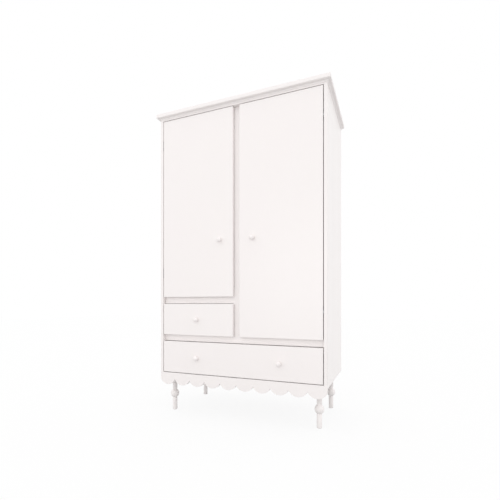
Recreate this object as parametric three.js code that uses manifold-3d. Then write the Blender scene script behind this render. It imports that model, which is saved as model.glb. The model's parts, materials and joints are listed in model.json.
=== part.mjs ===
// A free-standing two-door wardrobe with two drawers, a scalloped apron and turned legs.
// Millimetres, +Z up, +X to the right, +Y from the doors to the back.
// The pieces are laid out from the body's left face (X), the door fronts (Y) and the floor (Z);
// the group at the end moves them so that the origin is the bottom centre of the whole object.
import * as THREE from 'three';
import { mergeVertices } from 'three/addons/utils/BufferGeometryUtils.js';
import Module from 'manifold-3d';

const wasm = await Module();
wasm.setup();

// ---- Driving dimensions ----

// Body
const bodyWidth = 1040;
const bodyDepth = 550;
const boardThickness = 18;
const topPanelThickness = 20;
const backThickness = 6;
const legHeight = 232;

// Fronts
const frontThickness = 22;
const gap = 4;
const reveal = 42;
const drawerFrontHeight = 191;
const leftDoorHeight = 1101;

// Recessed rails and stile behind the reveals
const stopClearance = 3; // behind the closed doors
const railLap = 14; // how far a rail runs up behind the front above it
const railShadowGap = 2; // between a drawer front and the rail above it
const stileLap = 8;

// Cornice
const topBoardThickness = 21;
const topOverhang = 20;
const coveHeight = 11;
const coveProjection = 18;
const coveFillet = 2;
const coveSteps = 8;

// Apron
const scallopCount = 10;
const scallopDrop = 33;
const apronBand = 41;
const scallopSteps = 14;

// Legs
const legRadius = 14.5;
const legBallRadius = 26;
const legBallHalfHeight = 28;
const legBallCentre = 104;
const legFootRound = 5;
const legNeckDepth = 1.5;
const legGrooveLength = 3;
const legFootSteps = 4;
const legBallSteps = 10;
const legInsetSide = 55;
const legInsetFront = 75;

// Knobs
const knobRadius = 14;
const knobProjection = 28;
const knobHalfDepth = 11;
const knobNeckRadius = 6.5;
const knobSteps = 8;
const doorKnobHeight = 1052;
const doorKnobInset = 82;

// Hinges: an arc-shaped link slides round the pivot line in two mortised cases
const hingeRadius = 11;
const hingeLinkThickness = 4;
const hingeLinkHeight = 12;
const hingeLinkHalfAngle = 62;
const hingeChannelSpare = 2; // degrees that a channel runs on past the link's end
const hingeMouthAngle = 10; // degrees that a channel runs on past the case's mouth
const hingeCaseWall = 1.6;
const hingeCaseFront = 2.6;
const hingeCaseHeight = 60;
const hingeEndInset = 150;

// Drawer boxes and runners
const drawerSideThickness = 14;
const drawerBottomThickness = 5;
const drawerBottomRise = 10;
const drawerGroove = 6;
const drawerBoxRearSpace = 62;
const wideBoxRise = 12;
const wideBoxHeadroom = 31;
const smallBoxRise = 8;
const smallBoxHeadroom = 27;
const runnerSpace = 13;
const runnerHeight = 45;
const runnerWall = 1.5;
const runnerDepth = 10;
const runnerPlay = 0.5;
const runnerRearSpace = 49;
const runnerFrontSpace = 2;

// Inside the compartments
const shelfCount = 2;
const shelfSetback = 20;
const shelfPlay = 0.5;
const railRadius = 12.5;
const railWall = 1.5;
const railDrop = 60;

const fitGap = 0.3; // clearance round a piece that sits in a cut-out
const glueLap = 0.05; // how far glued mouldings run into each other at a mitre
const cutMargin = 1; // how far a cutter runs out of the piece it cuts
const roundSides = 24;
const smallRoundSides = 16;

// ---- Sizes that follow ----

const innerLeft = boardThickness;
const innerRight = bodyWidth - boardThickness;
const backFace = bodyDepth - backThickness;
const floorTop = legHeight + boardThickness;

const wideDrawerBottom = floorTop + gap;
const wideDrawerTop = wideDrawerBottom + drawerFrontHeight;
const smallDrawerBottom = wideDrawerTop + reveal;
const smallDrawerTop = smallDrawerBottom + drawerFrontHeight;
const leftDoorBottom = smallDrawerTop + reveal;
const doorTop = leftDoorBottom + leftDoorHeight;
const rightDoorBottom = smallDrawerBottom;
const topPanelBottom = doorTop + gap;
const sideTop = topPanelBottom + topPanelThickness;
const overallHeight = sideTop + topBoardThickness;

const doorWidth = (bodyWidth - 2 * boardThickness - 2 * gap - reveal) / 2;
const leftFrontFrom = innerLeft + gap;
const leftFrontTo = leftFrontFrom + doorWidth;
const rightFrontFrom = leftFrontTo + reveal;
const rightFrontTo = rightFrontFrom + doorWidth;

const revealSetback = frontThickness + stopClearance;
const railBack = revealSetback + boardThickness;
const stileLeft = leftFrontTo - stileLap;
const stileRight = rightFrontFrom + stileLap;
const dividerLeft = stileLeft; // the dividers stand flush with the stile, so that the runners pass it
const dividerRight = stileRight;
const lowerRailBottom = wideDrawerTop + railShadowGap;
const lowerRailTop = smallDrawerBottom + railLap;
const upperRailBottom = smallDrawerTop + railShadowGap;
const upperRailTop = leftDoorBottom + railLap;
const lowerDeckBottom = (wideDrawerTop + smallDrawerBottom - boardThickness) / 2;
const lowerDeckTop = lowerDeckBottom + boardThickness;
const upperDeckBottom = (smallDrawerTop + leftDoorBottom - boardThickness) / 2;
const upperDeckTop = upperDeckBottom + boardThickness;

const hingeInner = hingeRadius - hingeLinkThickness / 2;
const hingeOuter = hingeRadius + hingeLinkThickness / 2;
const hingeCaseBack = hingeOuter + fitGap + hingeCaseWall;
const hingeCaseDepth = hingeCaseBack - gap / 2;

// ---- Materials ----

const paint = { color: 0xf8f3f2, roughness: 0.45, metalness: 0 };
const rawBoard = { color: 0xf3efed, roughness: 0.6, metalness: 0 };
const steel = { color: 0xb9bcc0, roughness: 0.35, metalness: 0.9 };

const wardrobe = new THREE.Group();
wardrobe.name = 'wardrobe';
wardrobe.position.set(-bodyWidth / 2, -(bodyDepth - knobProjection) / 2, 0);

function addPiece(name, geometry, finish) {
  const mesh = new THREE.Mesh(geometry, new THREE.MeshStandardMaterial(finish));
  mesh.name = name;
  wardrobe.add(mesh);
  return mesh;
}

// ---- Shapes ----

function block([x0, x1], [y0, y1], [z0, z1]) {
  const geometry = new THREE.BoxGeometry(x1 - x0, y1 - y0, z1 - z0);
  return geometry.translate((x0 + x1) / 2, (y0 + y1) / 2, (z0 + z1) / 2);
}

function toSolid(geometry) {
  const bare = geometry.clone();
  bare.deleteAttribute('normal');
  bare.deleteAttribute('uv');
  const merged = mergeVertices(bare, 1e-4);
  const vertProperties = new Float32Array(merged.attributes.position.array);
  const triVerts = new Uint32Array(merged.index.array);
  return new wasm.Manifold(new wasm.Mesh({ numProp: 3, vertProperties, triVerts }));
}

function toGeometry(solid) {
  const mesh = solid.getMesh();
  const geometry = new THREE.BufferGeometry();
  geometry.setAttribute('position', new THREE.BufferAttribute(mesh.vertProperties, 3));
  geometry.setIndex(new THREE.BufferAttribute(mesh.triVerts, 1));
  return geometry;
}

function cut(geometry, cutters) {
  let solid = toSolid(geometry);
  for (const cutter of cutters) {
    solid = solid.subtract(toSolid(cutter));
  }
  return toGeometry(solid);
}

function extrude(shape, depth, curveSegments = smallRoundSides) {
  return new THREE.ExtrudeGeometry(shape, { depth, curveSegments, bevelEnabled: false });
}

function outline(points) {
  return new THREE.Shape(points.map(([x, y]) => new THREE.Vector2(x, y)));
}

// A profile of [radius, height] points turned about the Z axis.
function turned(profile, sides = roundSides) {
  const points = profile.map(([radius, height]) => new THREE.Vector2(radius, height));
  return new THREE.LatheGeometry(points, sides).rotateX(Math.PI / 2);
}

// ---- Hinges ----

// Places on a door's hinge line. `turn` is 1 where the door lies to the right of its hinges, -1 to the left.
function hingeLine(turn, doorBottom) {
  const x = turn > 0 ? innerLeft + gap / 2 : innerRight - gap / 2;
  const heights = { lower: doorBottom + hingeEndInset, upper: doorTop - hingeEndInset };
  return { turn, x, heights };
}

const leftHinge = hingeLine(1, leftDoorBottom);
const rightHinge = hingeLine(-1, rightDoorBottom);

// Part of a ring about the pivot line, between two angles counted from the door's side.
function ringSector(line, z, inner, outer, height, fromAngle, toAngle) {
  const start = line.turn > 0 ? fromAngle : 180 - toAngle;
  const end = line.turn > 0 ? toAngle : 180 - fromAngle;
  const startRad = THREE.MathUtils.degToRad(start);
  const endRad = THREE.MathUtils.degToRad(end);
  const shape = new THREE.Shape();
  shape.absarc(0, 0, outer, startRad, endRad, false);
  shape.absarc(0, 0, inner, endRad, startRad, true);
  return extrude(shape, height).translate(line.x, 0, z - height / 2);
}

// A case's block, or with `play` the mortise that takes it. `side` is 1 in the door, -1 in the side panel.
function caseBlock(line, z, side, play = 0) {
  const reach = hingeCaseDepth + play;
  const mouth = play > 0 ? 0 : gap / 2;
  const near = line.x + line.turn * side * mouth;
  const far = line.x + line.turn * side * (gap / 2 + reach);
  const halfHeight = hingeCaseHeight / 2 + play;
  return block(
    [Math.min(near, far), Math.max(near, far)],
    [hingeCaseFront - play, hingeCaseBack + play],
    [z - halfHeight, z + halfHeight],
  );
}

function hingeCase(line, z, side) {
  const channelEnd = hingeLinkHalfAngle + hingeChannelSpare;
  const from = 90 - (side > 0 ? channelEnd : hingeMouthAngle);
  const to = 90 + (side > 0 ? hingeMouthAngle : channelEnd);
  const height = hingeLinkHeight + 2 * fitGap;
  const channel = ringSector(line, z, hingeInner - fitGap, hingeOuter + fitGap, height, from, to);
  return cut(caseBlock(line, z, side), [channel]);
}

function hingeLink(line, z) {
  const from = 90 - hingeLinkHalfAngle;
  const to = 90 + hingeLinkHalfAngle;
  return ringSector(line, z, hingeInner, hingeOuter, hingeLinkHeight, from, to);
}

function hingeMortises(line, side) {
  return Object.values(line.heights).map((z) => caseBlock(line, z, side, fitGap));
}

function addHinges(side, line) {
  for (const [place, z] of Object.entries(line.heights)) {
    addPiece(`${side}_hinge_${place}_frame_case`, hingeCase(line, z, -1), steel);
    addPiece(`${side}_hinge_${place}_door_case`, hingeCase(line, z, 1), steel);
    addPiece(`${side}_hinge_${place}_link`, hingeLink(line, z), steel);
  }
}

// ---- Shelves ----

const shelfBay = topPanelBottom - upperDeckTop;
const shelfFront = railBack + shelfSetback;
const shelfBottoms = [];
for (let i = 1; i <= shelfCount; i += 1) {
  const clear = (shelfBay - shelfCount * boardThickness) / (shelfCount + 1);
  shelfBottoms.push(upperDeckTop + i * clear + (i - 1) * boardThickness);
}

function addShelves() {
  shelfBottoms.forEach((shelfBottom, i) => {
    const across = [innerLeft + shelfPlay, dividerLeft - shelfPlay];
    const deep = [shelfFront, backFace - fitGap];
    const heights = [shelfBottom, shelfBottom + boardThickness];
    addPiece(`shelf_${i + 1}`, block(across, deep, heights), paint);
  });
}

// ---- Carcass ----

function addSidePanels() {
  const notchAcross = [-cutMargin, bodyWidth + cutMargin];
  const apronNotch = block(notchAcross, [-cutMargin, boardThickness], [legHeight - cutMargin, floorTop]);
  const left = block([0, innerLeft], [0, bodyDepth], [legHeight, sideTop]);
  const right = block([innerRight, bodyWidth], [0, bodyDepth], [legHeight, sideTop]);
  addPiece('side_panel_left', cut(left, [apronNotch, ...hingeMortises(leftHinge, -1)]), paint);
  addPiece('side_panel_right', cut(right, [apronNotch, ...hingeMortises(rightHinge, -1)]), paint);
}

function addBoards() {
  const across = [innerLeft, innerRight];
  const deep = [railBack, backFace];
  addPiece('bottom_panel', block(across, [boardThickness, backFace], [legHeight, floorTop]), paint);
  addPiece('top_panel', block(across, [0, backFace], [topPanelBottom, sideTop]), paint);
  addPiece('back_panel', block(across, [backFace, bodyDepth], [legHeight, sideTop]), rawBoard);
  addPiece('lower_deck', block(across, deep, [lowerDeckBottom, lowerDeckTop]), paint);
  addPiece('upper_deck', block([innerLeft, dividerLeft], deep, [upperDeckBottom, upperDeckTop]), paint);

  const heights = [lowerDeckTop, topPanelBottom];
  const left = [dividerLeft, dividerLeft + boardThickness];
  const right = [dividerRight - boardThickness, dividerRight];
  addPiece('divider_left', block(left, deep, heights), paint);
  addPiece('divider_right', block(right, deep, heights), paint);
}

function addRails() {
  const deep = [revealSetback, railBack];
  addPiece('lower_rail', block([innerLeft, innerRight], deep, [lowerRailBottom, lowerRailTop]), paint);
  addPiece('upper_rail', block([innerLeft, stileLeft], deep, [upperRailBottom, upperRailTop]), paint);
  addPiece('centre_stile', block([stileLeft, stileRight], deep, [lowerRailTop, topPanelBottom]), paint);
}

// ---- Cornice ----

// The cove's section: distance out from the body, height above the cove's foot.
function coveSection() {
  const shape = new THREE.Shape();
  shape.moveTo(0, 0);
  shape.lineTo(coveFillet, 0);
  shape.quadraticCurveTo(coveFillet, coveHeight - coveFillet, coveProjection, coveHeight - coveFillet);
  shape.lineTo(coveProjection, coveHeight);
  shape.lineTo(0, coveHeight);
  shape.closePath();
  return shape;
}

// A length of cove whose ends are mitred by moving each end's points along with their distance out.
function cove(length, mitreStart, mitreEnd) {
  const geometry = extrude(coveSection(), length, coveSteps);
  const position = geometry.attributes.position;
  for (let i = 0; i < position.count; i += 1) {
    const out = position.getX(i);
    const along = position.getZ(i);
    if (along < length / 2 && mitreStart) {
      position.setZ(i, along - out);
    }
    if (along > length / 2 && mitreEnd) {
      position.setZ(i, along + out);
    }
  }
  return geometry;
}

function addCornice() {
  const across = [-topOverhang, bodyWidth + topOverhang];
  addPiece('top_board', block(across, [-topOverhang, bodyDepth], [sideTop, overallHeight]), paint);

  // Local X is out from the body, local Y is up and local Z runs along the moulding.
  const up = new THREE.Vector3(0, 0, 1);
  const place = (geometry, out, along, x, y) => {
    const outward = new THREE.Vector3(...out, 0);
    const lengthwise = new THREE.Vector3(...along, 0);
    const frame = new THREE.Matrix4().makeBasis(outward, up, lengthwise);
    return toSolid(geometry.applyMatrix4(frame.setPosition(x, y, sideTop - coveHeight)));
  };
  const sideLength = bodyDepth + glueLap;
  const front = place(cove(bodyWidth, true, true), [0, -1], [-1, 0], bodyWidth, 0);
  const right = place(cove(sideLength, false, true), [1, 0], [0, -1], bodyWidth, bodyDepth);
  const left = place(cove(sideLength, true, false), [-1, 0], [0, 1], 0, -glueLap);
  addPiece('cornice_cove', toGeometry(front.add(right).add(left)), paint);
}

// ---- Apron ----

function addApron() {
  const chord = bodyWidth / scallopCount;
  const radius = (chord * chord / 4 + scallopDrop * scallopDrop) / (2 * scallopDrop);
  const cusp = floorTop - apronBand;
  const halfAngle = Math.asin(Math.min(1, chord / 2 / radius));
  const shape = new THREE.Shape();
  shape.moveTo(0, floorTop);
  shape.lineTo(0, cusp);
  for (let i = 0; i < scallopCount; i += 1) {
    const centreX = (i + 0.5) * chord;
    const centreZ = cusp - scallopDrop + radius;
    shape.absarc(centreX, centreZ, radius, -Math.PI / 2 - halfAngle, -Math.PI / 2 + halfAngle, false);
  }
  shape.lineTo(bodyWidth, floorTop);
  shape.closePath();
  const board = extrude(shape, boardThickness, scallopSteps).rotateX(Math.PI / 2);
  addPiece('scalloped_apron', board.translate(0, boardThickness, 0), paint);
}

// ---- Legs ----

function legPlaces() {
  const xs = { left: legInsetSide, right: bodyWidth - legInsetSide };
  const ys = { front: legInsetFront, back: bodyDepth - legInsetFront };
  return Object.entries(ys).flatMap(([row, y]) =>
    Object.entries(xs).map(([side, x]) => ({ name: `leg_${row}_${side}`, x, y })));
}

function legProfile() {
  const neck = legRadius - legNeckDepth;
  const profile = [[0, 0], [legRadius - legFootRound, 0]];
  for (let i = 1; i <= legFootSteps; i += 1) {
    const angle = (Math.PI / 2) * (i / legFootSteps);
    profile.push([
      legRadius - legFootRound + legFootRound * Math.sin(angle),
      legFootRound * (1 - Math.cos(angle)),
    ]);
  }
  const start = Math.asin(neck / legBallRadius);
  const ballReach = legBallHalfHeight * Math.cos(start);
  profile.push([legRadius, legBallCentre - ballReach - legGrooveLength]);
  profile.push([neck, legBallCentre - ballReach - legGrooveLength / 2]);
  for (let i = 0; i <= legBallSteps; i += 1) {
    const angle = start + ((Math.PI - 2 * start) * i) / legBallSteps;
    profile.push([
      legBallRadius * Math.sin(angle),
      legBallCentre - legBallHalfHeight * Math.cos(angle),
    ]);
  }
  profile.push([neck, legBallCentre + ballReach + legGrooveLength / 2]);
  profile.push([legRadius, legBallCentre + ballReach + legGrooveLength]);
  profile.push([legRadius, legHeight], [0, legHeight]);
  return profile;
}

function addLegs() {
  for (const { name, x, y } of legPlaces()) {
    addPiece(name, toGeometry(toSolid(turned(legProfile()))), paint).position.set(x, y, 0);
  }
}

// ---- Knobs ----

function knobProfile() {
  const centre = knobProjection - knobHalfDepth;
  const start = Math.asin(knobNeckRadius / knobRadius);
  const profile = [[0, 0], [knobNeckRadius, 0]];
  for (let i = 0; i <= knobSteps; i += 1) {
    const angle = start + ((Math.PI - start) * i) / knobSteps;
    const radius = i === knobSteps ? 0 : knobRadius * Math.sin(angle);
    profile.push([radius, centre - knobHalfDepth * Math.cos(angle)]);
  }
  return profile;
}

function addKnob(name, x, z) {
  const knob = turned(knobProfile(), smallRoundSides).rotateX(Math.PI / 2);
  addPiece(name, toGeometry(toSolid(knob)), paint).position.set(x, 0, z);
}

// ---- Doors ----

function addDoor(side, line, across, bottom, knobX) {
  const panel = block(across, [0, frontThickness], [bottom, doorTop]);
  addPiece(`${side}_door_panel`, cut(panel, hingeMortises(line, 1)), paint);
  addKnob(`${side}_door_knob`, knobX, doorKnobHeight);
  addHinges(side, line);
}

// ---- Drawers ----

// A C-shaped channel along Y: `web` is the X of its outer face, and `mouth` is 1 where it opens to +X.
function channel(web, mouth, depth, [z0, z1], [y0, y1]) {
  const at = (distance) => web + mouth * distance;
  const shape = outline([
    [at(0), z0], [at(depth), z0], [at(depth), z0 + runnerWall], [at(runnerWall), z0 + runnerWall],
    [at(runnerWall), z1 - runnerWall], [at(depth), z1 - runnerWall], [at(depth), z1], [at(0), z1],
  ]);
  return extrude(shape, y1 - y0).rotateX(Math.PI / 2).translate(0, y1, 0);
}

// A drawer side: a board along Y with a groove for the drawer's bottom. `inward` is 1 where +X is inside.
function drawerSide(outer, inward, [z0, z1], [y0, y1]) {
  const at = (distance) => outer + inward * distance;
  const grooveFloor = drawerSideThickness - drawerGroove;
  const grooveBottom = z0 + drawerBottomRise - fitGap;
  const grooveTop = z0 + drawerBottomRise + drawerBottomThickness + fitGap;
  const shape = outline([
    [at(0), z0], [at(drawerSideThickness), z0], [at(drawerSideThickness), grooveBottom],
    [at(grooveFloor), grooveBottom], [at(grooveFloor), grooveTop],
    [at(drawerSideThickness), grooveTop], [at(drawerSideThickness), z1], [at(0), z1],
  ]);
  return extrude(shape, y1 - y0).rotateX(Math.PI / 2).translate(0, y1, 0);
}

// `walls` are the inner faces of the cabinet on the drawer's two sides.
function addDrawer(name, front, frontHeights, walls, [boxBottom, boxTop], knobXs) {
  const boxBack = backFace - drawerBoxRearSpace;
  const left = walls[0] + runnerSpace;
  const right = walls[1] - runnerSpace;
  const heights = [boxBottom, boxTop];
  const length = [frontThickness, boxBack];
  const innerX = [left + drawerSideThickness, right - drawerSideThickness];
  const slack = drawerGroove - fitGap;

  addPiece(`${name}_front`, block(front, [0, frontThickness], frontHeights), paint);
  addPiece(`${name}_side_left`, drawerSide(left, 1, heights, length), paint);
  addPiece(`${name}_side_right`, drawerSide(right, -1, heights, length), paint);

  const panelBottom = boxBottom + drawerBottomRise;
  const panelTop = panelBottom + drawerBottomThickness;
  const backBottom = panelTop + fitGap;
  const backY = [boxBack - drawerSideThickness, boxBack];
  addPiece(`${name}_back`, block(innerX, backY, [backBottom, boxTop]), paint);
  const bottomX = [innerX[0] - slack, innerX[1] + slack];
  const bottomY = [frontThickness + fitGap, boxBack];
  addPiece(`${name}_bottom`, block(bottomX, bottomY, [panelBottom, panelTop]), rawBoard);

  const runnerY = [railBack + runnerFrontSpace, backFace - runnerRearSpace];
  const movingY = [runnerY[0], Math.min(boxBack, runnerY[1])];
  const runnerMiddle = (boxBottom + boxTop) / 2;
  const fixedZ = [runnerMiddle - runnerHeight / 2, runnerMiddle + runnerHeight / 2];
  const inset = runnerWall + runnerPlay;
  const movingZ = [fixedZ[0] + inset, fixedZ[1] - inset];
  const movingDepth = runnerSpace - runnerWall - runnerPlay;
  addPiece(`${name}_runner_left`, channel(walls[0], 1, runnerDepth, fixedZ, runnerY), steel);
  addPiece(`${name}_runner_right`, channel(walls[1], -1, runnerDepth, fixedZ, runnerY), steel);
  addPiece(`${name}_slide_left`, channel(left, -1, movingDepth, movingZ, movingY), steel);
  addPiece(`${name}_slide_right`, channel(right, 1, movingDepth, movingZ, movingY), steel);

  knobXs.forEach((x, i) => {
    const suffix = knobXs.length > 1 ? ['_left', '_right'][i] : '';
    addKnob(`${name}_knob${suffix}`, x, (frontHeights[0] + frontHeights[1]) / 2);
  });
}

// ---- Hanging rail ----

function addHangingRail() {
  const z = topPanelBottom - railDrop;
  const y = (railBack + backFace) / 2;
  const from = dividerRight + fitGap;
  const to = innerRight - fitGap;
  const ring = new THREE.Shape();
  ring.absarc(0, 0, railRadius, 0, 2 * Math.PI, false);
  const bore = new THREE.Path();
  bore.absarc(0, 0, railRadius - railWall, 0, 2 * Math.PI, true);
  ring.holes.push(bore);
  const tube = extrude(ring, to - from).rotateY(Math.PI / 2).translate(from, y, z);
  addPiece('hanging_rail', toGeometry(toSolid(tube)), steel);
}

// ---- The whole wardrobe ----

addSidePanels();
addBoards();
addRails();
addCornice();
addApron();
addLegs();
addShelves();
addHangingRail();
const leftFront = [leftFrontFrom, leftFrontTo];
const rightFront = [rightFrontFrom, rightFrontTo];
addDoor('left', leftHinge, leftFront, leftDoorBottom, leftFrontTo - doorKnobInset);
addDoor('right', rightHinge, rightFront, rightDoorBottom, rightFrontFrom + doorKnobInset);

const leftFrontMiddle = (leftFrontFrom + leftFrontTo) / 2;
const rightFrontMiddle = (rightFrontFrom + rightFrontTo) / 2;
addDrawer(
  'small_drawer', leftFront, [smallDrawerBottom, smallDrawerTop], [innerLeft, dividerLeft],
  [lowerRailTop + smallBoxRise, upperRailBottom - smallBoxHeadroom], [leftFrontMiddle],
);
addDrawer(
  'wide_drawer', [leftFrontFrom, rightFrontTo], [wideDrawerBottom, wideDrawerTop], [innerLeft, innerRight],
  [floorTop + wideBoxRise, lowerRailBottom - wideBoxHeadroom], [leftFrontMiddle, rightFrontMiddle],
);

export default wardrobe;
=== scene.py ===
# A free-standing white wardrobe: lacquered boards, two doors, two drawers, turned legs and its fittings.
# Lengths in the dictionaries are millimetres; the scene is in metres, with the doors facing -Y.
import json
import math

import bmesh
import bpy
from mathutils import Euler, Matrix, Vector


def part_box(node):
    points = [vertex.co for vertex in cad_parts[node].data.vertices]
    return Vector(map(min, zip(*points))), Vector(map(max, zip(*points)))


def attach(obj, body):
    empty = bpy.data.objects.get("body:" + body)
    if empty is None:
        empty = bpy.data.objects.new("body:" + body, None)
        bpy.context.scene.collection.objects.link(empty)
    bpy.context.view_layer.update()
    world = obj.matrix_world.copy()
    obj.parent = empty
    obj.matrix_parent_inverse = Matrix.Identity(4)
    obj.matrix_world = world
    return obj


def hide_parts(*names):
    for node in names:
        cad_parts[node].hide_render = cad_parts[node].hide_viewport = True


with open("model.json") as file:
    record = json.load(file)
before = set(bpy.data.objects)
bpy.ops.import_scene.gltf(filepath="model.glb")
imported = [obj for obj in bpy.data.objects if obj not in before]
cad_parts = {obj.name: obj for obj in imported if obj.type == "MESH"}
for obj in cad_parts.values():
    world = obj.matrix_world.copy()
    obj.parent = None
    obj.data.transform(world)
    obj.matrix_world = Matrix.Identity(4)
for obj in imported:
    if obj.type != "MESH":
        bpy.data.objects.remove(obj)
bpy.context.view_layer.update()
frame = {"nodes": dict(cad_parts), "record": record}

mm = 0.001
nodeBody = {node: body for body, nodes in frame["record"]["behaviour"]["bodies"].items() for node in nodes}


# One output socket. Sums written with it add their Math nodes.
class Wire:
    def __init__(self, board, socket):
        self.board = board
        self.socket = socket

    def sum(self, operation, first, second):
        return self.board.add("ShaderNodeMath", {"operation": operation}, {0: first, 1: second})

    def __add__(self, other):
        return self.sum("ADD", self, other)

    def __radd__(self, other):
        return self.sum("ADD", other, self)

    def __mul__(self, other):
        return self.sum("MULTIPLY", self, other)

    def __rmul__(self, other):
        return self.sum("MULTIPLY", other, self)

    def __pow__(self, other):
        return self.sum("POWER", self, other)


# The node tree of one material or of the world.
class Board:
    def __init__(self, owner):
        owner.use_nodes = True
        self.owner = owner
        self.tree = owner.node_tree
        self.tree.nodes.clear()

    # Any node: its type, its settings (a ramp's stops among them), then its sockets' values or wires.
    def add(self, kind, settings=None, sockets=None, output=0):
        node = self.tree.nodes.new(kind)
        for key, value in (settings or {}).items():
            if key == "stops":
                ramp = node.color_ramp
                while len(ramp.elements) < len(value):
                    ramp.elements.new(0.5)
                for element, (position, shade) in zip(ramp.elements, value):
                    element.position = position
                    element.color = (*shade, 1) if isinstance(shade, tuple) else (shade, shade, shade, 1)
            else:
                setattr(node, key, value)
        for key, value in (sockets or {}).items():
            if isinstance(value, Wire):
                self.tree.links.new(value.socket, node.inputs[key])
            elif isinstance(value, tuple) and len(value) == 3 and node.inputs[key].type == "RGBA":
                node.inputs[key].default_value = (*value, 1)
            else:
                node.inputs[key].default_value = value
        return Wire(self, node.outputs[output]) if node.outputs else None

    def place(self, scale=(1, 1, 1), turn=(0, 0, 0)):
        coordinates = self.add("ShaderNodeTexCoord", output="Object")
        sockets = {"Vector": coordinates, "Scale": scale, "Rotation": turn}
        return self.add("ShaderNodeMapping", {}, sockets)

    def noise(self, place, scale, detail=2.0, roughness=0.5):
        values = {"Vector": place, "Scale": scale, "Detail": detail, "Roughness": roughness}
        return self.add("ShaderNodeTexNoise", {"noise_dimensions": "3D"}, values)

    def blendColours(self, mask, first, second):
        sockets = {0: mask, 6: first, 7: second}
        return self.add("ShaderNodeMix", {"data_type": "RGBA"}, sockets, output=2)

    def bump(self, height, strength, depth):
        sockets = {"Height": height, "Strength": strength, "Distance": depth * mm}
        return self.add("ShaderNodeBump", {}, sockets)

    def finish(self, shader):
        isWorld = isinstance(self.owner, bpy.types.World)
        kind = "ShaderNodeOutputWorld" if isWorld else "ShaderNodeOutputMaterial"
        self.add(kind, {}, {"Surface": shader})
        return self.owner


def newMaterial(name):
    return Board(bpy.data.materials.new(name))


lacquer = {
    "colour": (0.94, 0.898, 0.888),
    "shade": (0.925, 0.88, 0.868),
    "roughness": 0.36,
    "roughnessSpread": 0.1,
    "cloudScale": 5.0,
    "patchScale": 38.0,
    "peelSize": 2.6,  # the width of one dimple of the sprayed coat
    "peelDepth": 0.02,
    "nibSize": 1.0,
    "nibHeight": 0.6,  # nibs and rings, as shares of the peel's depth
    "ringHeight": 1.6,
    "coat": 0.2,
    "coatRoughness": 0.22,
}


# Sprayed satin lacquer: a faint cloudiness, orange peel and fine dust nibs.
# A turned piece also has a grain of rings.
def sprayedLacquer(name, grain=None):
    board = newMaterial(name)
    place = board.place()
    cloud = board.noise(place, lacquer["cloudScale"], 4.0, 0.55)
    patch = board.noise(place, lacquer["patchScale"], 3.0, 0.6)
    peel = board.noise(place, 1 / (lacquer["peelSize"] * mm), 1.5, 0.4)
    nibs = board.noise(place, 1 / (lacquer["nibSize"] * mm), 0.0)
    height = peel + (nibs ** 8.0) * lacquer["nibHeight"]
    if grain:
        rings = board.noise(board.place(grain), 1.0, 3.0, 0.6)
        height = height + rings * lacquer["ringHeight"]
    mask = cloud * 0.7 + patch * 0.3
    colour = board.blendColours(mask, lacquer["colour"], lacquer["shade"])
    spread = lacquer["roughnessSpread"]
    roughness = patch * spread + (lacquer["roughness"] - spread / 2)
    sockets = {
        "Base Color": colour,
        "Roughness": roughness,
        "Coat Weight": lacquer["coat"],
        "Coat Roughness": lacquer["coatRoughness"],
        "Normal": board.bump(height, 0.5, lacquer["peelDepth"]),
    }
    return board.finish(board.add("ShaderNodeBsdfPrincipled", {}, sockets))


hardboard = {
    "colour": (0.9, 0.865, 0.845),
    "fleck": (0.83, 0.79, 0.76),
    "roughness": 0.62,
    "roughnessSpread": 0.2,
    "fibreSize": 1.8,
    "fibreDepth": 0.05,
    "fibreStretch": 0.25,  # the smaller, the longer the fibres
    "fleckFrom": 0.44,
    "fleckFull": 0.64,
}


# White-faced hardboard: pressed fibres that show through a thin matt coat.
def whiteHardboard(name):
    board = newMaterial(name)
    fine, stretch = 1 / (hardboard["fibreSize"] * mm), hardboard["fibreStretch"]
    fibres = board.noise(board.place((1, 1, stretch)), fine, 5.0, 0.65)
    crossFibres = board.noise(board.place((stretch, 1, 1)), fine, 5.0, 0.65)
    mat = fibres * 0.5 + crossFibres * 0.5
    stops = [(hardboard["fleckFrom"], 0.0), (hardboard["fleckFull"], 1.0)]
    flecks = board.add("ShaderNodeValToRGB", {"stops": stops}, {"Fac": mat})
    spread = hardboard["roughnessSpread"]
    sockets = {
        "Base Color": board.blendColours(flecks, hardboard["colour"], hardboard["fleck"]),
        "Roughness": mat * spread + (hardboard["roughness"] - spread / 2),
        "Normal": board.bump(mat, 0.6, hardboard["fibreDepth"]),
    }
    return board.finish(board.add("ShaderNodeBsdfPrincipled", {}, sockets))


zinc = {
    "colour": (0.66, 0.67, 0.69),
    "dull": (0.55, 0.57, 0.6),
    "roughness": 0.34,
    "roughnessSpread": 0.16,
    "streaks": (260, 14, 260),  # drawn along the runners
    "streakDepth": 0.02,
}


# Zinc-plated steel: soft streaks from rolling and a slightly cloudy plating.
def zincSteel(name, roughness=0.0, stretch=None):
    board = newMaterial(name)
    streaks = board.noise(board.place(stretch or zinc["streaks"]), 1.0, 3.0, 0.6)
    clouds = board.noise(board.place(), 60.0, 3.0, 0.5)
    mask = streaks * 0.5 + clouds * 0.5
    base, spread = roughness or zinc["roughness"], zinc["roughnessSpread"]
    sockets = {
        "Base Color": board.blendColours(mask, zinc["colour"], zinc["dull"]),
        "Metallic": 1.0,
        "Roughness": mask * spread + (base - spread / 2),
        "Normal": board.bump(streaks, 0.35, zinc["streakDepth"]),
    }
    return board.finish(board.add("ShaderNodeBsdfPrincipled", {}, sockets))


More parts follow.
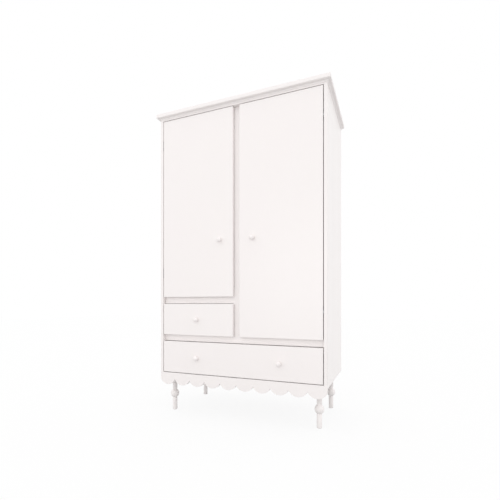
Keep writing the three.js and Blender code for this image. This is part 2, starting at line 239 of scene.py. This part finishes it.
# Moulded nylon, sintered magnet and soft bumper. Their spread and depth are the same.
mouldings = {
    "whiteNylon": {
        "colour": (0.86, 0.85, 0.83), "shade": (0.8, 0.79, 0.77), "roughness": 0.42, "grain": 900,
    },
    "darkMagnet": {
        "colour": (0.06, 0.06, 0.065), "shade": (0.1, 0.1, 0.105), "roughness": 0.55, "grain": 1400,
    },
    "softBumper": {
        "colour": (0.72, 0.71, 0.7), "shade": (0.66, 0.65, 0.64), "roughness": 0.3, "grain": 500,
    },
    "roughnessSpread": 0.12,
    "grainDepth": 0.02,
}


def moulding(name):
    values, spread = mouldings[name], mouldings["roughnessSpread"]
    board = newMaterial(name)
    speck = board.noise(board.place(), values["grain"], 3.0, 0.6)
    sockets = {
        "Base Color": board.blendColours(speck, values["colour"], values["shade"]),
        "Roughness": speck * spread + (values["roughness"] - spread / 2),
        "Normal": board.bump(speck, 0.3, mouldings["grainDepth"]),
    }
    return board.finish(board.add("ShaderNodeBsdfPrincipled", {}, sockets))


finishes = {
    "lacquer": (sprayedLacquer("sprayed_white_lacquer"), "white_lacquer"),
    "turnedLeg": (sprayedLacquer("lacquer_on_turned_legs", (26, 26, 420)), "white_lacquer"),
    "turnedKnob": (sprayedLacquer("lacquer_on_turned_knobs", (60, 700, 60)), "white_lacquer"),
    "hardboard": (whiteHardboard("white_faced_hardboard"), "white_hardboard"),
    "steel": (zincSteel("zinc_plated_steel"), "zinc_steel"),
    "rail": (zincSteel("polished_rail_steel", 0.2, (9, 300, 300)), "zinc_steel"),
    "screws": (zincSteel("bright_screw_steel", 0.28, (400, 400, 400)), "zinc_steel"),
    "nylon": (moulding("whiteNylon"), "white_lacquer"),
    "magnet": (moulding("darkMagnet"), "zinc_steel"),
    "bumper": (moulding("softBumper"), "white_lacquer"),
}
print("finishes ready:", len(finishes))


def spot(x, y, z):
    return Vector((x, y, z))


# An eased box between two corners, in metres.
def easedBox(low, high, ease, steps=3):
    shape = bmesh.new()
    bmesh.ops.create_cube(shape, size=1)
    bmesh.ops.scale(shape, vec=high - low, verts=shape.verts)
    bmesh.ops.translate(shape, vec=(low + high) / 2, verts=shape.verts)
    return roundOff(shape, shape.edges[:], ease, steps)


# Rounds the given edges. Only the rounding is shaded smooth, so that flat faces stay flat.
def roundOff(shape, edges, ease, steps=3):
    made = bmesh.ops.bevel(
        shape, geom=edges, offset=ease * mm, offset_type="OFFSET", affect="EDGES", segments=steps,
        profile=0.5, material=-1, clamp_overlap=True,
    )
    for face in made["faces"]:
        face.smooth = True
    return shape


# A profile of (radius, height) pairs in millimetres, spun about Z and set on the origin.
# Edges sharper than `crease` degrees stay crisp.
def turned(profile, steps=48, crease=38):
    shape = bmesh.new()
    rim = [shape.verts.new((radius * mm, 0, height * mm)) for radius, height in profile]
    line = [shape.edges.new(pair) for pair in zip(rim, rim[1:])]
    bmesh.ops.spin(
        shape, geom=rim + line, cent=(0, 0, 0), axis=(0, 0, 1), angle=2 * math.pi, steps=steps,
        use_merge=True,
    )
    bmesh.ops.remove_doubles(shape, verts=shape.verts, dist=1e-6)
    bmesh.ops.recalc_face_normals(shape, faces=shape.faces)
    for face in shape.faces:
        face.smooth = True
    keepCreases(shape, crease)
    return shape


def keepCreases(shape, degrees):
    for edge in shape.edges:
        if len(edge.link_faces) == 2 and edge.calc_face_angle(0) > math.radians(degrees):
            edge.smooth = False


# Adds a copy of a small shape to a bigger one at each place.
def stamp(target, shape, places):
    mesh = bpy.data.meshes.new("stamp")
    for place in places:
        copy = shape.copy()
        bmesh.ops.transform(copy, matrix=place, verts=copy.verts)
        copy.to_mesh(mesh)
        copy.free()
        target.from_mesh(mesh)
    bpy.data.meshes.remove(mesh)
    return target


# The place of a shape whose Z axis is turned to point along `axis`.
def facing(point, axis):
    turn = Vector((0, 0, 1)).rotation_difference(Vector(axis))
    return Matrix.Translation(point) @ turn.to_matrix().to_4x4()


# A CAD node's own shape with its doubles merged, its flat faces joined and its sharp edges eased.
def easedNode(node, ease, steps=2):
    shape = bmesh.new()
    shape.from_mesh(frame["nodes"][node].data)
    bmesh.ops.remove_doubles(shape, verts=shape.verts, dist=2e-6)
    flat, corner = math.radians(2), math.radians(30)
    bmesh.ops.dissolve_limit(shape, angle_limit=flat, verts=shape.verts, edges=shape.edges)
    sharp = [e for e in shape.edges if len(e.link_faces) == 2 and e.calc_face_angle(0) > corner]
    for face in shape.faces:
        face.smooth = False
    return roundOff(shape, sharp, ease, steps)


# Turns a shape into a piece that rides on a body, with its finish and the CAD nodes it stands for.
def addPiece(name, shape, body, finish, replaced=()):
    mesh = bpy.data.meshes.new(name)
    shape.to_mesh(mesh)
    shape.free()
    piece = bpy.data.objects.new(name, mesh)
    bpy.context.scene.collection.objects.link(piece)
    material, slot = finishes[finish]
    mesh.materials.append(material)
    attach(piece, body)
    if replaced:
        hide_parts(*replaced)
    return piece


# Cuts eased boxes out of a piece and keeps the result as its mesh.
def carve(piece, boxes):
    tools = []
    for low, high in boxes:
        mesh = bpy.data.meshes.new("tool")
        shape = easedBox(low, high, boards["cutEase"], 1)
        shape.to_mesh(mesh)
        shape.free()
        tool = bpy.data.objects.new("tool", mesh)
        bpy.context.scene.collection.objects.link(tool)
        tools.append(tool)
        cut = piece.modifiers.new("cut", "BOOLEAN")
        cut.operation, cut.solver, cut.object = "DIFFERENCE", "EXACT", tool
    bpy.context.view_layer.update()
    made = bpy.data.meshes.new_from_object(piece.evaluated_get(bpy.context.evaluated_depsgraph_get()))
    made.name = piece.name
    piece.modifiers.clear()
    old = piece.data
    piece.data = made
    bpy.data.meshes.remove(old)
    for tool in tools:
        mesh = tool.data
        bpy.data.objects.remove(tool)
        bpy.data.meshes.remove(mesh)
    return piece


boards = {
    "steps": 3,
    "eases": {  # node: how far its edges are rounded
        "side_panel_left": 0.8, "side_panel_right": 0.8,
        "top_panel": 0.25, "top_board": 1.6, "bottom_panel": 0.5,
        "lower_deck": 0.6, "upper_deck": 0.6, "divider_left": 0.6, "divider_right": 0.6,
        "lower_rail": 0.6, "upper_rail": 0.6, "centre_stile": 0.6,
        "shelf_1": 1.2, "shelf_2": 1.2,
    },
    "doors": {"left_door_panel": 1.2, "right_door_panel": 1.2},
    "drawerFronts": {"small_drawer_front": 1.2, "wide_drawer_front": 1.2},
    "hingePlay": 0.3,
    "overcut": 3.0,  # how far a cutter runs out past the board's face
    "cutEase": 0.05,
}


def boardPiece(node, ease, finish="lacquer"):
    low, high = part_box(node)
    shape = easedBox(low, high, ease, boards["steps"])
    return addPiece(node + "_lacquered", shape, nodeBody[node], finish, [node])


# The boxes that make room for a hinge case, open towards the pivot gap. `out` is the X way out of the board.
def mortises(side, part, out):
    play = boards["hingePlay"] * mm
    boxes = []
    for place in ("lower", "upper"):
        low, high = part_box(f"{side}_hinge_{place}_{part}_case")
        low, high = low - spot(play, play, play), high + spot(play, play, play)
        if out > 0:
            high.x += boards["overcut"] * mm
        else:
            low.x -= boards["overcut"] * mm
        boxes.append((low, high))
    return boxes


for node, ease in {**boards["eases"], **boards["doors"], **boards["drawerFronts"]}.items():
    piece = boardPiece(node, ease)
    if node.startswith("side_panel"):
        side = node.split("_")[-1]
        apronLow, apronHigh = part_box("scalloped_apron")
        margin = spot(1, 1, 1) * boards["overcut"] * mm
        notch = (apronLow - margin, spot(apronHigh.x + margin.x, apronHigh.y, apronHigh.z))
        carve(piece, [notch] + mortises(side, "frame", 1 if side == "left" else -1))
    if node in boards["doors"]:
        side = node.split("_")[0]
        carve(piece, mortises(side, "door", -1 if side == "left" else 1))
print("boards and fronts ready")


back = {
    "ease": 0.3,
    "nailRadius": 3.4, "nailHeight": 0.9, "nailDepth": 1.0, "nailSteps": 12,
    "nailPitch": 150, "nailInset": 9,
}

low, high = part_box("back_panel")
addPiece("back_panel_faced", easedBox(low, high, back["ease"], 2), "frame", "hardboard", ["back_panel"])
radius, tall, deep = back["nailRadius"], back["nailHeight"], back["nailDepth"]
nailSection = [(0, tall), (radius * 0.7, tall), (radius, 0.3), (radius, -deep), (0, -deep)]
nail = turned(nailSection, back["nailSteps"])
places = []
inset = back["nailInset"] * mm
width, height = high.x - low.x - 2 * inset, high.z - low.z - 2 * inset
pitch = back["nailPitch"] * mm
columns, rows = round(width / pitch), round(height / pitch)
for i in range(columns + 1):
    for z in (low.z + inset, high.z - inset):
        places.append(facing(spot(low.x + inset + width * i / columns, high.y, z), (0, 1, 0)))
for i in range(1, rows):
    for x in (low.x + inset, high.x - inset):
        places.append(facing(spot(x, high.y, low.z + inset + height * i / rows), (0, 1, 0)))
addPiece("back_panel_nails", stamp(bmesh.new(), nail, places), "frame", "screws")
nail.free()


cornice = {"foot": 2.0, "lip": 2.0, "curveSteps": 14}


# The hollow moulding under the top board: one section led round the two front mitres.
def coveMoulding():
    low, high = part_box("cornice_cove")
    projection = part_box("side_panel_left")[0].x - low.x
    tall = high.z - low.z
    foot, lip = cornice["foot"] * mm, cornice["lip"] * mm
    section = [(0, 0), (foot, 0)]
    for i in range(1, cornice["curveSteps"] + 1):
        t = i / cornice["curveSteps"]
        out = (1 - t) ** 2 * foot + 2 * (1 - t) * t * foot + t * t * projection
        up = 2 * (1 - t) * t * (tall - lip) + t * t * (tall - lip)
        section.append((out, up))
    section += [(projection, tall), (0, tall)]
    left, right, front = low.x + projection, high.x - projection, low.y + projection
    shape = bmesh.new()
    rim = [shape.verts.new((left - out, high.y, low.z + up)) for out, up in section]
    outs = [out for out, up in section]
    loop = [shape.edges.new((rim[i], rim[(i + 1) % len(rim)])) for i in range(len(rim))]
    stations = [lambda out: (left - out, front - out), lambda out: (right + out, front - out),
                lambda out: (right + out, high.y)]
    shape.faces.new(rim)
    for station in stations:
        made = bmesh.ops.extrude_edge_only(shape, edges=loop)["geom"]
        moved = {item for item in made if isinstance(item, bmesh.types.BMVert)}
        ordered = []
        for vert in rim:
            partner = next(e.other_vert(vert) for e in vert.link_edges if e.other_vert(vert) in moved)
            ordered.append(partner)
        for vert, out in zip(ordered, outs):
            vert.co.x, vert.co.y = station(out)
        rim = ordered
        loop = [item for item in made if isinstance(item, bmesh.types.BMEdge) and
                item.verts[0] in moved and item.verts[1] in moved]
    shape.faces.new(rim)
    bmesh.ops.recalc_face_normals(shape, faces=shape.faces)
    for face in shape.faces:
        face.smooth = len(face.verts) == 4
    keepCreases(shape, 25)
    return shape


addPiece("cornice_cove_moulding", coveMoulding(), "frame", "lacquer", ["cornice_cove"])
print("cornice ready")


apron = {"scallops": 10, "drop": 33, "steps": 26, "ease": 0.7}


# The scalloped board: each lobe is spun from its cusp, and the outline is filled and pulled out.
def scallopedApron():
    low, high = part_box("scalloped_apron")
    chord = (high.x - low.x) / apron["scallops"]
    drop = apron["drop"] * mm
    radius = (chord * chord / 4 + drop * drop) / (2 * drop)
    half = math.asin(chord / 2 / radius)
    cusp = low.z + drop
    shape = bmesh.new()
    start = shape.verts.new((low.x, low.y, cusp))
    vert = start
    for i in range(apron["scallops"]):
        centre = spot(low.x + (i + 0.5) * chord, low.y, low.z + radius)
        made = bmesh.ops.spin(shape, geom=[vert], cent=centre, axis=(0, -1, 0), angle=2 * half,
                              steps=apron["steps"])
        vert = next(item for item in made["geom_last"] if isinstance(item, bmesh.types.BMVert))
    corners = [shape.verts.new((high.x, low.y, high.z)), shape.verts.new((low.x, low.y, high.z))]
    shape.edges.new((vert, corners[0]))
    shape.edges.new(corners)
    shape.edges.new((corners[1], start))
    face = bmesh.ops.contextual_create(shape, geom=shape.edges[:])["faces"][0]
    made = bmesh.ops.extrude_face_region(shape, geom=[face])["geom"]
    moved = [item for item in made if isinstance(item, bmesh.types.BMVert)]
    bmesh.ops.translate(shape, vec=(0, high.y - low.y, 0), verts=moved)
    bmesh.ops.recalc_face_normals(shape, faces=shape.faces)
    rims = [e for e in shape.edges if e.calc_face_angle(0) > math.radians(70)]
    roundOff(shape, rims, apron["ease"], 2)
    for face in shape.faces:
        if abs(face.normal.y) < 0.1 and face.calc_area() < chord * (high.y - low.y) / 3:
            face.smooth = True
    keepCreases(shape, 35)
    return shape


addPiece("scalloped_apron_lacquered", scallopedApron(), "frame", "lacquer", ["scalloped_apron"])
print("apron ready")


legs = {
    "radius": 14.5, "footRound": 5,
    "ballRadius": 26, "ballHalf": 28, "ballCentre": 104,
    "groove": 3.0, "grooveDepth": 1.5, "lipWidth": 0.6, "lipDepth": 0.3,
    "footSteps": 8, "ballSteps": 28, "turnSteps": 72,
    "plateRadius": 31, "plateThickness": 2.0, "platePlay": 0.3, "plateScrews": 4, "plateScrewRing": 23.5,
}


def legProfile(height):
    radius, foot = legs["radius"], legs["footRound"]
    profile = [(0, 0), (radius - foot, 0)]
    for i in range(1, legs["footSteps"] + 1):
        angle = math.pi / 2 * i / legs["footSteps"]
        profile.append((radius - foot + foot * math.sin(angle), foot * (1 - math.cos(angle))))
    neck = radius - legs["grooveDepth"]
    start = math.asin(neck / legs["ballRadius"])
    reach = legs["ballHalf"] * math.cos(start)
    below, above = legs["ballCentre"] - reach, legs["ballCentre"] + reach
    groove, lip, dip = legs["groove"], legs["lipWidth"], legs["lipDepth"]
    profile += [(radius, below - groove - lip), (radius - dip, below - groove), (neck, below - groove / 2)]
    for i in range(legs["ballSteps"] + 1):
        angle = start + (math.pi - 2 * start) * i / legs["ballSteps"]
        ball = (legs["ballRadius"] * math.sin(angle), legs["ballCentre"] - legs["ballHalf"] * math.cos(angle))
        profile.append(ball)
    profile += [(neck, above + groove / 2), (radius - dip, above + groove), (radius, above + groove + lip)]
    profile += [(radius, height), (0, height)]
    return profile


screws = {
    "small": (2.6, 1.0), "pan": (3.6, 1.4), "knob": (4.5, 2.0), "hinge": (2.4, 0.5),  # head radius, height
    "recessDepth": 0.75, "recessWidth": 0.55, "slotWidth": 0.42,  # shares of the head
    "steps": 16,
}


# A pan-head screw with a cross recess; its axis is Z and its head stands on the origin.
def crossScrew(kind):
    radius, tall = screws[kind]
    depth, recess = tall * screws["recessDepth"], radius * screws["recessWidth"]
    profile = [(0, tall - depth), (recess * 0.8, tall - depth), (recess, tall), (radius * 0.75, tall * 0.92),
               (radius, tall * 0.4), (radius, -tall), (0, -tall)]
    shape = turned(profile, screws["steps"])
    for vert in shape.verts:
        out = math.hypot(vert.co.x, vert.co.y)
        if recess * 0.7 * mm < out < recess * 1.05 * mm:
            angle = math.atan2(vert.co.y, vert.co.x)
            narrow = 1.0 if abs(math.cos(2 * angle)) > 0.9 else screws["slotWidth"]
            vert.co.x *= narrow
            vert.co.y *= narrow
    return shape


plates = bmesh.new()
plateScrews = bmesh.new()
for corner in ("front_left", "front_right", "back_left", "back_right"):
    node = "leg_" + corner
    low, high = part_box(node)
    axisX, axisY = (low.x + high.x) / 2, (low.y + high.y) / 2
    shape = turned(legProfile((high.z - low.z) / mm), legs["turnSteps"])
    bmesh.ops.translate(shape, vec=spot(axisX, axisY, low.z), verts=shape.verts)
    addPiece(node + "_turned", shape, "frame", "turnedLeg", [node])
    thick = legs["plateThickness"]
    inner = legs["radius"] + legs["platePlay"]
    under = high.z - thick * mm
    ring = turned([(inner, 0), (legs["plateRadius"] - 1, 0), (legs["plateRadius"], 0.6),
                   (legs["plateRadius"], thick), (inner, thick), (inner, 0)], 48)
    stamp(plates, ring, [Matrix.Translation(spot(axisX, axisY, under))])
    ring.free()
    screw = crossScrew("pan")
    around = [math.radians(45 + 360 * i / legs["plateScrews"]) for i in range(legs["plateScrews"])]
    reach = legs["plateScrewRing"] * mm
    stamp(plateScrews, screw, [
        facing(spot(axisX + reach * math.cos(a), axisY + reach * math.sin(a), under), (0, 0, -1))
        for a in around])
    screw.free()
addPiece("leg_plates", plates, "frame", "steel")
addPiece("leg_plate_screws", plateScrews, "frame", "screws")
print("legs ready")


knobs = {
    "ballRadius": 14, "halfDepth": 11, "projection": 28,
    "neckRadius": 6.5, "collarRadius": 8.2, "collarDepth": 1.6,
    "turnSteps": 56, "ballSteps": 26,
    "fronts": {  # knob: the front that it is screwed to
        "left_door_knob": "left_door_panel", "right_door_knob": "right_door_panel",
        "small_drawer_knob": "small_drawer_front",
        "wide_drawer_knob_left": "wide_drawer_front", "wide_drawer_knob_right": "wide_drawer_front",
    },
}


def knobShape():
    centre = knobs["projection"] - knobs["halfDepth"]
    start = math.asin(knobs["neckRadius"] / knobs["ballRadius"])
    collar, depth = knobs["collarRadius"], knobs["collarDepth"]
    profile = [(0, 0), (collar, 0), (collar, depth * 0.6), (collar - 0.6, depth)]
    profile.append((knobs["neckRadius"] * 0.96, depth + 0.8))
    for i in range(knobs["ballSteps"]):
        angle = start + (math.pi - start) * i / knobs["ballSteps"]
        out, up = knobs["ballRadius"] * math.sin(angle), knobs["halfDepth"] * math.cos(angle)
        profile.append((out, centre - up))
    profile.append((0, knobs["projection"]))
    return turned(profile, knobs["turnSteps"])


screwSets = {}
for node, front in knobs["fronts"].items():
    low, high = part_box(node)
    seat = spot((low.x + high.x) / 2, high.y, (low.z + high.z) / 2)
    shape = knobShape()
    bmesh.ops.transform(shape, matrix=facing(seat, (0, -1, 0)), verts=shape.verts)
    addPiece(node + "_turned", shape, nodeBody[node], "turnedKnob", [node])
    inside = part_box(front)[1].y
    screwSets.setdefault(nodeBody[node], []).append(facing(spot(seat.x, inside, seat.z), (0, 1, 0)))
for body, places in screwSets.items():
    screw = crossScrew("knob")
    addPiece(body + "_knob_screws", stamp(bmesh.new(), screw, places), body, "screws")
    screw.free()
print("knobs ready")


hinges = {"ease": 0.35, "screwInset": 8}

for side, body in (("left", "left_door"), ("right", "right_door")):
    caseScrews = {"frame": [], "door": []}
    for place in ("lower", "upper"):
        for part, rider in (("frame_case", "frame"), ("door_case", body), ("link", body + "_links")):
            node = f"{side}_hinge_{place}_{part}"
            addPiece(node + "_plated", easedNode(node, hinges["ease"]), rider, "steel", [node])
        for part in ("frame", "door"):
            low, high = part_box(f"{side}_hinge_{place}_{part}_case")
            outward = (1 if part == "frame" else -1) * (1 if side == "left" else -1)
            x = high.x if outward > 0 else low.x
            for z in (low.z + hinges["screwInset"] * mm, high.z - hinges["screwInset"] * mm):
                caseScrews[part].append(facing(spot(x, (low.y + high.y) / 2, z), (outward, 0, 0)))
    for part, rider in (("frame", "frame"), ("door", body)):
        screw = crossScrew("hinge")
        name = f"{side}_hinge_{part}_screws"
        addPiece(name, stamp(bmesh.new(), screw, caseScrews[part]), rider, "screws")
        screw.free()
print("hinges ready")


drawers = {
    "eases": {"side_left": 0.8, "side_right": 0.8, "back": 1.2},
    "bottomEase": 0.3, "runnerEase": 0.45, "runnerWall": 1.5,
    "runnerScrews": 3, "runnerScrewMargin": 0.08,  # the margin is a share of the runner's length
    "cornerScrewInset": 22,
}

for name in ("small_drawer", "wide_drawer"):
    for part, ease in drawers["eases"].items():
        node = f"{name}_{part}"
        addPiece(node + "_lacquered", easedNode(node, ease), name, "lacquer", [node])
    node = name + "_bottom"
    low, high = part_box(node)
    addPiece(node + "_faced", easedBox(low, high, drawers["bottomEase"], 2), name, "hardboard", [node])
    fixedScrews = []
    for hand, inward in (("left", 1), ("right", -1)):
        for part, rider in (("runner", "frame"), ("slide", name)):
            node = f"{name}_{part}_{hand}"
            addPiece(node + "_plated", easedNode(node, drawers["runnerEase"]), rider, "steel", [node])
        low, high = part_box(f"{name}_runner_{hand}")
        x = (low.x if inward > 0 else high.x) + inward * drawers["runnerWall"] * mm
        middle, margin = (low.z + high.z) / 2, drawers["runnerScrewMargin"]
        for i in range(drawers["runnerScrews"]):
            share = margin + (1 - 2 * margin) * i / (drawers["runnerScrews"] - 1)
            y = low.y + (high.y - low.y) * share
            fixedScrews.append(facing(spot(x, y, middle), (inward, 0, 0)))
    screw = crossScrew("pan")
    addPiece(name + "_runner_screws", stamp(bmesh.new(), screw, fixedScrews), "frame", "screws")
    screw.free()
    # Screws through the drawer box's sides into its back board.
    boxScrews = []
    backLow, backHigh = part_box(name + "_back")
    for hand, outward in (("left", -1), ("right", 1)):
        low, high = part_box(f"{name}_side_{hand}")
        x = low.x if outward < 0 else high.x
        inset = drawers["cornerScrewInset"] * mm
        for z in (low.z + inset, high.z - inset):
            boxScrews.append(facing(spot(x, (backLow.y + backHigh.y) / 2, z), (outward, 0, 0)))
    screw = crossScrew("small")
    addPiece(name + "_box_screws", stamp(bmesh.new(), screw, boxScrews), name, "screws")
    screw.free()
print("drawers and runners ready")


fittings = {
    "pinRadius": 2.5, "pinReach": 9, "collarRadius": 5, "collarThickness": 1.4,
    "pinFromFront": 45, "pinFromBack": 40,
    "railRadius": 12.5, "railWall": 1.5,
    "socketRadius": 19, "socketDepth": 11, "socketWall": 2.6, "socketPlay": 0.4,
    "flangeWidth": 3, "flangeThickness": 2.0, "flangeScrewTurns": (30, 150, 270),
    "capRadius": 9, "capHeight": 0.8, "capFromSide": 30, "capFromFront": 60,
    "lap": 8,  # how far a door covers the stile
    "magnetRadius": 3.4, "magnetHeight": 0.8, "magnetDepth": 3, "magnetInset": 60,
    "strikeSize": 7, "strikeThickness": 0.9, "strikeEase": 0.3,
    "bumperRadius": 3, "bumperHeight": 1.6, "bumperOffset": 30,
}

pins = bmesh.new()
radius, reach = fittings["pinRadius"], fittings["pinReach"]
collar, thick = fittings["collarRadius"], fittings["collarThickness"]
pin = turned([(0, 0), (collar, 0), (collar, thick - 0.4), (collar - 0.4, thick), (radius, thick),
              (radius, reach - 0.6), (radius - 0.6, reach), (0, reach)], 24)
leftWall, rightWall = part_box("side_panel_left")[1].x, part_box("divider_left")[0].x
for node in ("shelf_1", "shelf_2"):
    low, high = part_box(node)
    for y in (low.y + fittings["pinFromFront"] * mm, high.y - fittings["pinFromBack"] * mm):
        for wall, way in ((leftWall, 1), (rightWall, -1)):
            stamp(pins, pin, [facing(spot(wall, y, low.z - radius * mm), (way, 0, 0))])
pin.free()
addPiece("shelf_pins", pins, "frame", "screws")

low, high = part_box("hanging_rail")
axisY, axisZ = (low.y + high.y) / 2, (low.z + high.z) / 2
outer, inner = fittings["railRadius"], fittings["railRadius"] - fittings["railWall"]
length = (high.x - low.x) / mm
tube = turned([(inner, 0.4), (inner, length - 0.4), (inner + 0.4, length), (outer - 0.4, length),
               (outer, length - 0.4), (outer, 0.4), (outer - 0.4, 0), (inner + 0.4, 0), (inner, 0.4)], 64)
bmesh.ops.transform(tube, matrix=facing(spot(low.x, axisY, axisZ), (1, 0, 0)), verts=tube.verts)
addPiece("hanging_rail_tube", tube, "frame", "rail", ["hanging_rail"])
sockets, socketScrews = bmesh.new(), bmesh.new()
bore = outer + fittings["socketPlay"]
rim = bore + fittings["socketWall"]
flange, deep = fittings["socketRadius"] + fittings["flangeWidth"], fittings["socketDepth"]
socket = turned([(bore, 0.2), (flange - 0.8, 0.2), (flange, 0.9), (flange - 0.4, 2.2), (rim + 0.8, 2.6),
                 (rim, 3.4), (rim, deep - 0.8), (rim - 0.8, deep), (bore, deep), (bore, 0.2)], 48)
screw = crossScrew("small")
for x, way in ((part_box("divider_right")[1].x, 1), (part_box("side_panel_right")[0].x, -1)):
    stamp(sockets, socket, [facing(spot(x, axisY, axisZ), (way, 0, 0))])
    face, ring = x + way * fittings["flangeThickness"] * mm, (rim + flange) / 2 * mm
    for turn in fittings["flangeScrewTurns"]:
        a = math.radians(turn)
        place = spot(face, axisY + ring * math.cos(a), axisZ + ring * math.sin(a))
        stamp(socketScrews, screw, [facing(place, (way, 0, 0))])
socket.free()
screw.free()
addPiece("rail_sockets", sockets, "frame", "steel")
addPiece("rail_socket_screws", socketScrews, "frame", "screws")

# Caps over the connectors inside the side panels, beside each fixed board.
caps = bmesh.new()
radius, tall = fittings["capRadius"], fittings["capHeight"]
cap = turned([(0, tall), (radius * 0.85, tall), (radius, tall * 0.3), (radius, -0.4), (0, -0.4)], 32)
insetX, insetY = fittings["capFromSide"] * mm, fittings["capFromFront"] * mm
for node, up in (("lower_deck", -1), ("top_panel", -1), ("bottom_panel", 1)):
    low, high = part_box(node)
    for x in (low.x + insetX, high.x - insetX):
        for y in (low.y + insetY, high.y - insetY):
            stamp(caps, cap, [facing(spot(x, y, high.z if up > 0 else low.z), (0, 0, up))])
cap.free()
addPiece("connector_caps", caps, "frame", "nylon")

# Door magnets on the stile, their strike plates and the bumpers on the doors.
magnets = bmesh.new()
radius, tall, deep = fittings["magnetRadius"], fittings["magnetHeight"], fittings["magnetDepth"]
magnet = turned([(0, tall), (radius - 0.5, tall), (radius, tall - 0.4), (radius, -deep), (0, -deep)], 32)
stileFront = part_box("centre_stile")[0].y
radius, tall = fittings["bumperRadius"], fittings["bumperHeight"]
bumper = turned([(0, tall), (radius * 0.55, tall * 0.92), (radius * 0.9, tall * 0.5),
                 (radius, 0), (0, 0)], 24)
half, thick = fittings["strikeSize"] / 2 * mm, fittings["strikeThickness"] * mm
inset, offset = fittings["magnetInset"] * mm, fittings["bumperOffset"] * mm
for side in ("left", "right"):
    body = side + "_door"
    low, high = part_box(side + "_door_panel")
    middle = fittings["lap"] / 2 * mm
    x = high.x - middle if side == "left" else low.x + middle
    strikes, bumpers = bmesh.new(), bmesh.new()
    for z in (high.z - inset, low.z + inset):
        stamp(magnets, magnet, [facing(spot(x, stileFront, z), (0, -1, 0))])
        corner = spot(x - half, high.y, z - half)
        plate = easedBox(corner, corner + spot(2 * half, thick, 2 * half), fittings["strikeEase"], 2)
        stamp(strikes, plate, [Matrix.Identity(4)])
        plate.free()
        for rise in (offset, -offset):
            stamp(bumpers, bumper, [facing(spot(x, high.y, z + rise), (0, 1, 0))])
    addPiece(body + "_strike_plates", strikes, body, "steel")
    addPiece(body + "_bumpers", bumpers, body, "bumper")
bumper.free()
magnet.free()
addPiece("stile_magnets", magnets, "frame", "magnet")
print("fittings ready")


room = {  # metres and watts
    "floorSize": 30.0,
    "floorShade": (0.54, 0.54, 0.54),
    "floorGlow": 0.8,  # the share of plain white that the floor shows
    "glowStrength": 1.09,
    "ambient": 1.15,
    "key": {"place": (-0.8, -8.0, 1.2), "aim": (0, 0, 0.9), "size": 4.0, "watts": 61},
    "fill": {"place": (8.0, -1.5, 1.5), "aim": (0, 0, 0.9), "size": 3.0, "watts": 26},
}


# 1 where the camera sees the surface straight, in a mirror or through glass.
def seenByCamera(board):
    seen = board.add("ShaderNodeLightPath", output="Is Camera Ray")
    mirrored = board.add("ShaderNodeLightPath", output="Is Glossy Ray")
    through = board.add("ShaderNodeLightPath", output="Is Transmission Ray")
    return seen + mirrored + through


floorShape = bmesh.new()
bmesh.ops.create_grid(floorShape, x_segments=1, y_segments=1, size=room["floorSize"] / 2)
floorMesh = bpy.data.meshes.new("studio_floor")
floorShape.to_mesh(floorMesh)
floorShape.free()
floor = bpy.data.objects.new("studio_floor", floorMesh)
bpy.context.scene.collection.objects.link(floor)

board = newMaterial("studio_floor_white")
matt = board.add("ShaderNodeBsdfDiffuse", {}, {"Color": room["floorShade"]})
glow = board.add("ShaderNodeEmission", {}, {"Color": (1, 1, 1), "Strength": room["glowStrength"]})
share = seenByCamera(board) * room["floorGlow"]
floorMesh.materials.append(board.finish(board.add("ShaderNodeMixShader", {}, {0: share, 1: matt, 2: glow})))

world = bpy.data.worlds.new("studio_world")
bpy.context.scene.world = world
board = Board(world)
strength = seenByCamera(board) * (1 - room["ambient"]) + room["ambient"]
board.finish(board.add("ShaderNodeBackground", {}, {"Color": (1, 1, 1), "Strength": strength}))

for name in ("key", "fill"):
    values = room[name]
    lamp = bpy.data.lights.new(name + "_lamp", "AREA")
    lamp.shape, lamp.size, lamp.energy = "DISK", values["size"], values["watts"]
    holder = bpy.data.objects.new(name + "_lamp", lamp)
    holder.location = values["place"]
    direction = Vector(values["aim"]) - Vector(values["place"])
    holder.rotation_euler = direction.to_track_quat("-Z", "Y").to_euler()
    bpy.context.scene.collection.objects.link(holder)

view = {"place": (0.8223, -2.081, 0.675), "turn": 22.0, "lens": 24.96, "sensor": 36.0, "shift": 0.1086}
lens = bpy.data.cameras.new("studio_camera")
lens.sensor_width, lens.lens, lens.shift_y = view["sensor"], view["lens"], view["shift"]
camera = bpy.data.objects.new("studio_camera", lens)
camera.location = view["place"]
camera.rotation_euler = Euler((math.radians(90), 0, math.radians(view["turn"])))
bpy.context.scene.collection.objects.link(camera)
bpy.context.scene.camera = camera
bpy.context.scene.view_settings.view_transform = "Standard"
print("room, lamps and camera ready")
